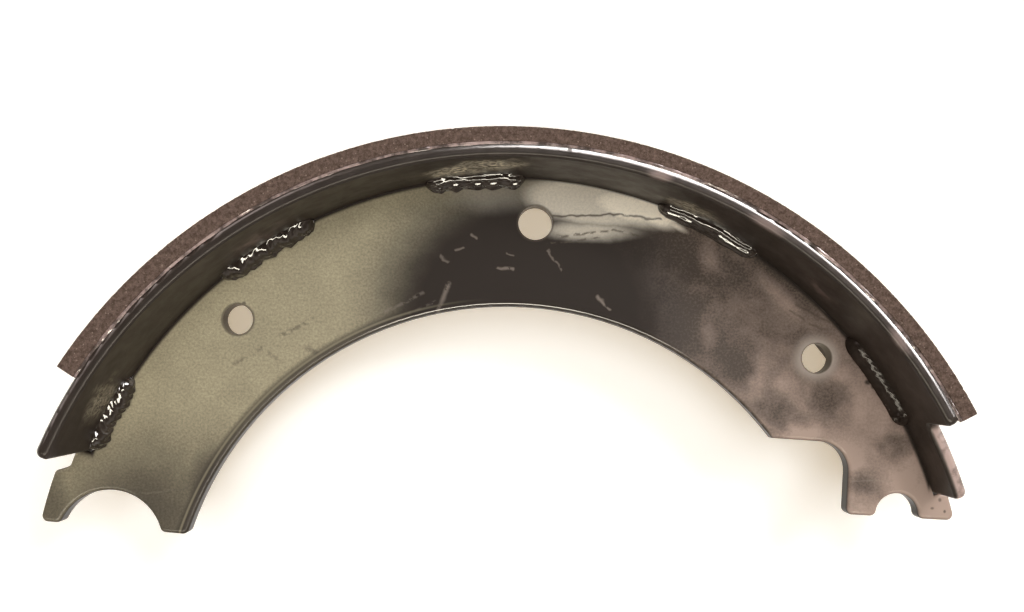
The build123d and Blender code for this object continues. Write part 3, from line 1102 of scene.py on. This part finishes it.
@dataclass
class WeldBead:
    """One fillet weld in the corner of web and rim, with its ripples and lumps."""

    layout: Layout
    number: int
    side: Side
    shape: BeadShape
    radius: float = 3.2
    rim_reach: float = 1.1
    web_lift: float = 0.7
    ripple_pitch: float = 1.7
    ripple_lean: float = 1.5
    crescent: float = 1.9
    wander: Drift = Drift(0.35, 0.5, 2.0, seed=9.1)
    swell: Drift = Drift(1.0, 0.33, 1.5, seed=3.7)
    gaps: Drift = Drift(0.8, 0.7, start=1.3, seed=5.9)
    waver: Drift = Drift(0.5, 0.25, start=8.8, seed=2.3)
    gap_level: float = 0.6
    ridge_waver: float = 0.2
    toe_roll: Span = (0.13, 0.09)
    lump_gap: float = 4.0
    lump_lift: Span = (0.5, 1.5)
    lump_level: Span = (0.1, 0.8)
    lump_size: Span = (1.4, 2.6)
    lump_stretch: float = 3.0
    crater_level: float = 0.55
    crater_stretch: float = 4.5
    crater_rise: float = 0.45
    crater_lip: Span = (0.9, 0.28)
    crater_dip: float = 0.3
    crater_floor: Span = (0.0, 0.6)
    edge_rise: float = 6.0
    edge_level: float = 0.25
    end_fade: float = 1.2
    end_level: float = 0.2
    sunk: float = 0.12
    rows_per_mm: float = 7.0
    columns: int = 30
    lumps: list[tuple[float, float, float, float]] = field(default_factory=list)

    @property
    def node(self) -> str:
        """The CAD node that the bead stands for."""
        return f"{self.side.name.lower()}_weld_{self.number}"

    @property
    def path_radius(self) -> float:
        """The radius of the arc that the bead follows."""
        return self.layout.rim_inner_radius

    @property
    def length(self) -> float:
        """The bead's length."""
        return radians(self.shape.end_angle - self.shape.start_angle) * self.path_radius

    def relief(self, along: float, across: float) -> float:
        """The height of ripples and lumps at a place on the bead.

        Args:
            along: the distance from the bead's start.
            across: 0 at the web and 1 at the rim.

        Returns:
            The height above the plain bead, in millimetres.
        """
        shape, place = self.shape, (along, across, self.number)
        bow = self.crescent * (1 - (2 * across - 1) ** 2)
        phase = ((along + bow + self.wander.at(*place)) / self.ripple_pitch) % 1.0
        ripple = sin(pi * phase ** self.ripple_lean) ** 2
        swell = self.swell.at(*place, self.side.value)
        height = shape.ripple_height * (ripple - 0.5) + shape.lump_height * swell
        broken = self.gap_level + self.gaps.at(*place)
        height += shape.toe_roll * broken * hump(across, *self.toe_roll)
        waver = self.ridge_waver * self.waver.at(*place)
        height += shape.ridge_height * broken * sin(2 * pi * shape.ridges * (across + waver))
        for middle, level, size, lift in self.lumps:
            gap = hypot((along - middle) / size, (across - level) * self.lump_stretch / size)
            height += lift * max(0.0, 1 - gap * gap) ** 2
        if shape.crater_angle is not None:
            middle = radians(shape.crater_angle - shape.start_angle) * self.path_radius
            gap = hypot(along - middle, (across - self.crater_level) * self.crater_stretch)
            height += self.crater_rise * hump(gap, *self.crater_lip)
            height -= self.crater_dip * hump(gap, *self.crater_floor)
        edge = min(1.0, self.edge_rise * min(across, 1 - across) + self.edge_level)
        end = min(1.0, min(along, self.length - along) / self.end_fade)
        return height * edge * max(self.end_level, end)

    def build(self) -> bpy.types.Object:
        """Make the bead's mesh, row by row along the weld."""
        random = Random(100 * self.number + self.side.value)
        length = self.length
        for _ in range(max(2, round(length / self.lump_gap))):
            lift = random.uniform(*self.lump_lift) * self.shape.lump_height
            middle, level = random.uniform(0, length), random.uniform(*self.lump_level)
            self.lumps.append((middle, level, random.uniform(*self.lump_size), lift))
        low = -asin((self.web_lift + self.sunk) / self.radius)
        high = acos((self.rim_reach - self.sunk) / self.radius)
        rows = round(length * self.rows_per_mm)
        points: list[Vector] = []
        for row in range(rows + 1):
            along = length * row / rows
            inset = min(along, length - along) / self.radius
            cap = max(sqrt(max(0.0, 1 - (1 - min(1.0, inset)) ** 2)), 0.02)
            angle = self.shape.start_angle + degrees(along / self.path_radius)
            for column in range(self.columns):
                across = column / (self.columns - 1)
                turn = low + (high - low) * across
                reach = self.radius + self.relief(along, across)
                deep = reach * cos(turn) - self.rim_reach
                lift = reach * sin(turn) + self.web_lift
                points.append(self.point(angle, deep * cap, lift * cap))
            points.append(self.point(angle, -self.sunk, -self.sunk))
        return make_mesh(f"{self.node}_bead", points, grid_faces(rows + 1, self.columns + 1, ring=True))

    def point(self, angle: float, deep: float, lift: float) -> Vector:
        """A point by its depth from the rim's inner face and its lift off the web."""
        middle = self.layout.shoe_width / 2
        height = middle + self.side.value * (self.layout.web_thickness / 2 + lift)
        return self.layout.on_rim(self.path_radius - deep, angle, height)


@dataclass
class Welds:
    """The ten fillet welds, five along each face of the web."""

    shapes: tuple[BeadShape, ...] = (
        BeadShape(-67.0, -56.3, 0.2, 0.4),
        BeadShape(-39.2, -25.1, 0.12, 0.4, toe_roll=0.6),
        BeadShape(-10.3, 2.7, 0.03, 0.16, toe_roll=0.55, ridge_height=0.22),
        BeadShape(20.0, 34.3, 0.03, 0.12, toe_roll=0.1, ridge_height=0.16, ridges=4.0),
        BeadShape(50.0, 63.5, 0.02, 0.1, toe_roll=0.0, crater_angle=62.0, glossy=False),
    )
    finish: PaintFinish = PaintFinish(
        "weld_paint", specular=0.0, peel=0.0, sag=0.02, dust=0.01, coat_roughness=0.05
    )
    dull_finish: PaintFinish = PaintFinish(
        "dull_weld_paint", specular=0.0, peel=0.0, coat=0.14, coat_roughness=0.16
    )

    def build(self, layout: Layout, effects: Effects) -> None:
        """Make every bead and dress it.

        Args:
            layout: the arcs of the shoe.
            effects: the shared node groups.
        """
        glossy = self.finish.build(effects)
        dull = self.dull_finish.build(effects)
        for side in Side:
            for number, shape in enumerate(self.shapes, start=1):
                bead = WeldBead(layout, number, side, shape)
                stand_for(bead.build(), bead.node, glossy if shape.glossy else dull)


@dataclass
class Pressings:
    """The web and the rim, which keep their CAD forms under their paint."""

    web_finish: WebFinish = WebFinish("web_paint")
    rim_finish: RimFinish = RimFinish("rim_paint", sag=0.06, coat_roughness=0.16)

    def build(self, effects: Effects) -> None:
        """Paint the web and the rim.

        Args:
            effects: the shared node groups.
        """
        for node, finish in (("web", self.web_finish), ("rim", self.rim_finish)):
            dress(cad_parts[node], finish.build(effects))
            LOG.info("%s: painted", node)


@dataclass
class BondFilm:
    """The film of adhesive under the lining, with the bead that it squeezes out along both edges."""

    layout: Layout
    rows_per_mm: float = 3.0
    columns: int = 7
    lip: float = 0.3
    lip_from: float = 1.6
    swell_pace: float = 0.16
    flat_swell: float = 0.35
    rear_drop: float = 0.4
    sunk: float = 0.04
    low_cover: float = 32.0
    high_cover: float = 66.0
    bulge: float = 0.22
    clearance: float = 0.02
    seeds: Span = (11.3, 47.9)

    def build(self) -> bpy.types.Object:
        """Make the film's mesh."""
        radius = self.layout.lining_inner_radius
        return sweep("bond_film_bead", self.layout, radius, self.rows_per_mm, self.ring)

    def ring(self, angle: float) -> list[Vector]:
        """The points of the film's outline at an angle, once round."""
        layout = self.layout
        along = radians(angle) * layout.lining_inner_radius
        front, rear = (self.bead(along, seed) for seed in self.seeds)
        rear = [(radius, layout.shoe_width - height) for radius, height in reversed(rear)]
        return [layout.ray_point(angle, radius) + Vector((0, 0, height)) for radius, height in front + rear]

    def bead(self, along: float, seed: float) -> list[tuple[float, float]]:
        """The squeezed-out bead at the front edge, from the lining to the rim.

        Args:
            along: the distance along the arc.
            seed: which stretch of the noise is used.

        Returns:
            Radii and heights.
        """
        layout = self.layout
        swell = 0.5 + 0.5 * noise.fractal(Vector((along * self.swell_pace, seed, 0.0)), 0.8, 2.0, 4)
        swell = min(1.0, max(0.0, swell))
        edge = layout.rim_outer_edge_radius
        rim_radius = layout.lining_inner_radius - layout.bond_thickness
        cover = radians(self.high_cover + (self.low_cover - self.high_cover) * swell)
        reach = edge - self.sunk
        foot = (rim_radius - edge + reach * sin(cover), layout.shoe_width - edge + reach * cos(cover))
        lip = self.lip * (self.lip_from - swell)
        head = (layout.lining_inner_radius + self.sunk, layout.shoe_width - lip)
        outline = []
        for column in range(self.columns):
            share = column / (self.columns - 1)
            bulge = self.bulge * sin(pi * share) * (swell - self.flat_swell)
            radius = head[0] + (foot[0] - head[0]) * share
            height = head[1] + (foot[1] - head[1]) * share + bulge
            outline.append((radius, min(height, layout.shoe_width - self.clearance)))
        outline.append((rim_radius - self.sunk, layout.shoe_width - edge - self.rear_drop))
        return outline


@dataclass
class LiningBlock:
    """The friction lining, with worn arrises and small chips along them."""

    layout: Layout
    rows_per_mm: float = 4.0
    face_columns: int = 7
    bevel: float = 0.35
    bevel_columns: int = 3
    bevel_pace: float = 1.7
    bevel_swing: float = 0.6
    chip_pace: float = 0.9
    chip_depth: float = 1.65
    chip_level: float = 0.42
    wander: float = 0.1
    face_grain: float = 0.04
    side_columns: int = 24
    seeds: Span = (5.1, 77.7)

    def build(self) -> bpy.types.Object:
        """Make the lining's mesh."""
        radius = self.layout.drum_radius
        return sweep("friction_lining_block", self.layout, radius, self.rows_per_mm, self.ring)

    def ring(self, angle: float) -> list[Vector]:
        """The points of the lining's outline at an angle, once round."""
        layout = self.layout
        inner = layout.ray_point(angle, layout.lining_inner_radius)
        way = Vector((sin(radians(angle)), cos(radians(angle)), 0))
        thickness = layout.drum_radius - (inner - layout.drum_axis).length
        outline = self.section(thickness, radians(angle) * layout.drum_radius)
        return [inner + way * out + Vector((0, 0, height)) for out, height in outline]

    def section(self, thickness: float, along: float) -> list[tuple[float, float]]:
        """The lining's outline across the shoe.

        Args:
            thickness: the lining's thickness here.
            along: the distance along the arc.

        Returns:
            Distances from the inner face and heights, once round.
        """
        front, rear = (self.edge(thickness, along, seed) for seed in self.seeds)
        top = [(out, self.layout.shoe_width - drop) for out, drop in front]
        bottom = list(reversed(rear))
        side = []
        for column in range(1, self.side_columns):
            share = column / self.side_columns
            height = top[-1][1] + (bottom[0][1] - top[-1][1]) * share
            side.append((thickness - self.face_grain * self.rough(along, height * 0.2, 31.0), height))
        return top + side + bottom

    def edge(self, thickness: float, along: float, seed: float) -> list[tuple[float, float]]:
        """The outline from the inner face to the outer arris.

        Args:
            thickness: the lining's thickness here.
            along: the distance along the arc.
            seed: which stretch of the noise is used.

        Returns:
            Distances from the inner face and depths below the edge.
        """
        chip = noise.noise(Vector((along * self.chip_pace, seed, 4.0))) - self.chip_level
        swing = self.bevel_swing * noise.noise(Vector((along * self.bevel_pace, seed, 8.0)))
        bevel = self.bevel * (1 + swing) + max(0.0, chip) * self.chip_depth
        outline = []
        for column in range(self.face_columns):
            share = column / (self.face_columns - 1)
            drop = self.wander * self.rough(along, share * thickness, seed)
            outline.append((max(0.0, share * (thickness - bevel)), drop))
        foot = outline[-1][1]
        for column in range(1, self.bevel_columns + 1):
            turn = column / self.bevel_columns * pi / 2
            outline.append((thickness - bevel + bevel * sin(turn), foot + bevel * (1 - cos(turn))))
        return outline

    @staticmethod
    def rough(along: float, across: float, seed: float) -> float:
        """The depth of the grain at a place, from 0 to 1."""
        grain = noise.fractal(Vector((along * 1.1, across * 1.1, seed)), 0.7, 2.2, 3)
        return min(1.0, max(0.0, 0.5 + 0.5 * grain))


@dataclass
class Lining:
    """The friction lining and the film that bonds it."""

    finish: LiningFinish = LiningFinish("friction_material")
    adhesive: AdhesiveFinish = AdhesiveFinish("adhesive")

    def build(self, layout: Layout, effects: Effects) -> None:
        """Make the lining and the film and dress them.

        Args:
            layout: the arcs of the shoe.
            effects: the shared node groups.
        """
        pieces = (
            (LiningBlock(layout).build(), self.finish, "friction_lining", Slot.LINING),
            (BondFilm(layout).build(), self.adhesive, "bond_film", Slot.ADHESIVE),
        )
        for made, finish, node, slot in pieces:
            stand_for(made, node, finish.build(effects))


def stand_for(made: bpy.types.Object, node: str, material: bpy.types.Material) -> None:
    """Dress a made piece, and let it stand for a CAD node on the shoe's one body."""
    made.data.materials.append(material)
    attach(made, "root")
    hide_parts(node)
    LOG.info("%s: %d faces", made.name, len(made.data.polygons))


def dress(piece: bpy.types.Object, material: bpy.types.Material) -> None:
    """Put a material in every slot of a piece."""
    if not piece.material_slots:
        piece.data.materials.append(material)
    for slot in piece.material_slots:
        slot.material = material


# ---------------------------------------------------------------- studio


@dataclass(frozen=True)
class Lamp:
    """A soft lamp, by its direction from the shoe."""

    name: str
    bearing: float
    height: float
    distance: float
    width: float
    depth: float
    power: float
    colour: Colour = (1.0, 1.0, 1.0)
    on_colour: bool = True
    on_gloss: bool = True

    def build(self) -> None:
        """Make the lamp, aimed at the shoe."""
        data = bpy.data.lights.new(self.name, "AREA")
        data.shape = "RECTANGLE"
        data.size = self.width * MM
        data.size_y = self.depth * MM
        data.energy = self.power
        data.color = self.colour
        made = bpy.data.objects.new(self.name, data)
        turn, lift = radians(self.bearing), radians(self.height)
        way = Vector((sin(turn) * cos(lift), cos(turn) * cos(lift), sin(lift)))
        made.location = way * self.distance * MM
        made.rotation_euler = way.to_track_quat("Z", "Y").to_euler()
        made.visible_camera = False
        made.visible_diffuse = self.on_colour
        made.visible_glossy = self.on_gloss
        bpy.context.scene.collection.objects.link(made)


@dataclass(frozen=True)
class Paper:
    """The white paper under the shoe."""

    size: float = 12000.0
    own_light: Colour = (0.465, 0.37, 0.25)
    bounce: Colour = (0.9, 0.9, 0.9)
    surface: Colour = (0.86, 0.92, 0.97)
    fibre: Grain = Grain(1.5, 4.0)
    fibre_range: Span = (0.3, 0.7)
    fibre_levels: Span = (0.99, 1.0)

    def build(self) -> None:
        """Make the paper."""
        half = self.size / 2
        corners = [Vector((x, y, 0)) for x, y in ((-half, -half), (half, -half), (half, half), (-half, half))]
        sheet = make_mesh("paper", corners, [(0, 1, 2, 3)])
        material = bpy.data.materials.new("paper")
        material.use_nodes = True
        material.node_tree.nodes.clear()
        graph = Graph(material.node_tree)
        noisy = graph.noise(graph.place(), self.fibre)
        fibre = graph.ramp(noisy, *self.fibre_range, *self.fibre_levels)
        seen = self.seen_directly(graph)
        colour = graph.blend(seen, self.bounce, self.surface)
        diffuse = graph.node("ShaderNodeBsdfDiffuse", {"Color": colour})
        light = {"Color": self.own_light, "Strength": seen * fibre}
        glow = graph.node("ShaderNodeEmission", light)
        both = graph.node("ShaderNodeAddShader", {0: diffuse.outputs[0], 1: glow.outputs[0]})
        graph.node("ShaderNodeOutputMaterial", {"Surface": both.outputs[0]})
        sheet.data.materials.append(material)

    @staticmethod
    def seen_directly(graph: Graph) -> Value:
        """1 for rays from the camera, from gloss and through glass, and 0 for the others."""
        rays = graph.node("ShaderNodeLightPath").outputs
        mirrored = graph.math("MAXIMUM", rays["Is Glossy Ray"], rays["Is Transmission Ray"])
        return graph.math("MAXIMUM", rays["Is Camera Ray"], mirrored)


@dataclass(frozen=True)
class Studio:
    """Paper, sky, lamps and camera."""

    lamps: tuple[Lamp, ...] = (
        Lamp("top_lamp", 0.0, 90.0, 1600.0, 1000.0, 1000.0, 16.5, on_gloss=False),
        Lamp("key_lamp", 48.0, 58.0, 1200.0, 260.0, 260.0, 3.4, on_gloss=False),
        Lamp("edge_lamp", 40.0, 36.0, 900.0, 1000.0, 850.0, 110.0, (1.0, 0.95, 0.93), on_colour=False),
        Lamp("heel_lamp", -50.0, 34.0, 900.0, 500.0, 500.0, 3.6, (1.0, 0.84, 0.80), on_colour=False),
        Lamp("front_lamp", 180.0, 50.0, 900.0, 1300.0, 190.0, 24.0, (1.0, 0.93, 0.78), on_colour=False),
    )
    horizon_top: float = 0.12
    room_from: float = 0.30
    dark_from: float = 0.80
    dark_to: float = 0.90
    horizon: float = 0.9
    room: float = 0.2
    zenith: float = 0.03
    room_colour: Colour = (1.0, 0.86, 0.74)
    eye: tuple[float, float, float] = (0.55, -4.33, 248.0)
    lens: float = 37.28
    shift_x: float = 0.0117
    shift_y: float = 0.0557

    def build(self) -> None:
        """Make everything around the shoe."""
        Paper().build()
        for lamp in self.lamps:
            lamp.build()
        self.build_sky()
        self.build_camera()

    def build_sky(self) -> None:
        """A pale room with a dark ceiling."""
        world = bpy.data.worlds.new("room")
        world.use_nodes = True
        world.node_tree.nodes.clear()
        graph = Graph(world.node_tree)
        way = graph.node("ShaderNodeTexCoord").outputs["Generated"]
        up = graph.parts(way)[2]
        level = graph.ramp(up, self.horizon_top, self.room_from, self.horizon, self.room)
        above = graph.ramp(up, self.dark_from, self.dark_to, 1.0, self.zenith / self.room)
        sky = graph.node("ShaderNodeBackground", {"Color": self.room_colour, "Strength": level * above})
        graph.node("ShaderNodeOutputWorld", {"Surface": sky.outputs[0]})
        bpy.context.scene.world = world

    def build_camera(self) -> None:
        """The camera, straight above the shoe."""
        data = bpy.data.cameras.new("camera")
        data.lens = self.lens
        data.shift_x = self.shift_x
        data.shift_y = self.shift_y
        data.clip_start = 0.01
        camera = bpy.data.objects.new("camera", data)
        camera.location = Vector(self.eye) * MM
        bpy.context.scene.collection.objects.link(camera)
        bpy.context.scene.camera = camera


def main() -> None:
    """Build the shoe and the studio around it."""
    logging.basicConfig(level=logging.INFO, format="%(name)s %(message)s")
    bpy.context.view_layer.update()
    bpy.context.scene.view_settings.view_transform = "Standard"
    layout = Layout()
    effects = Effects()
    Pressings().build(effects)
    Lining().build(layout, effects)
    Welds().build(layout, effects)
    Studio().build()


if __name__ == "__main__":
    main()
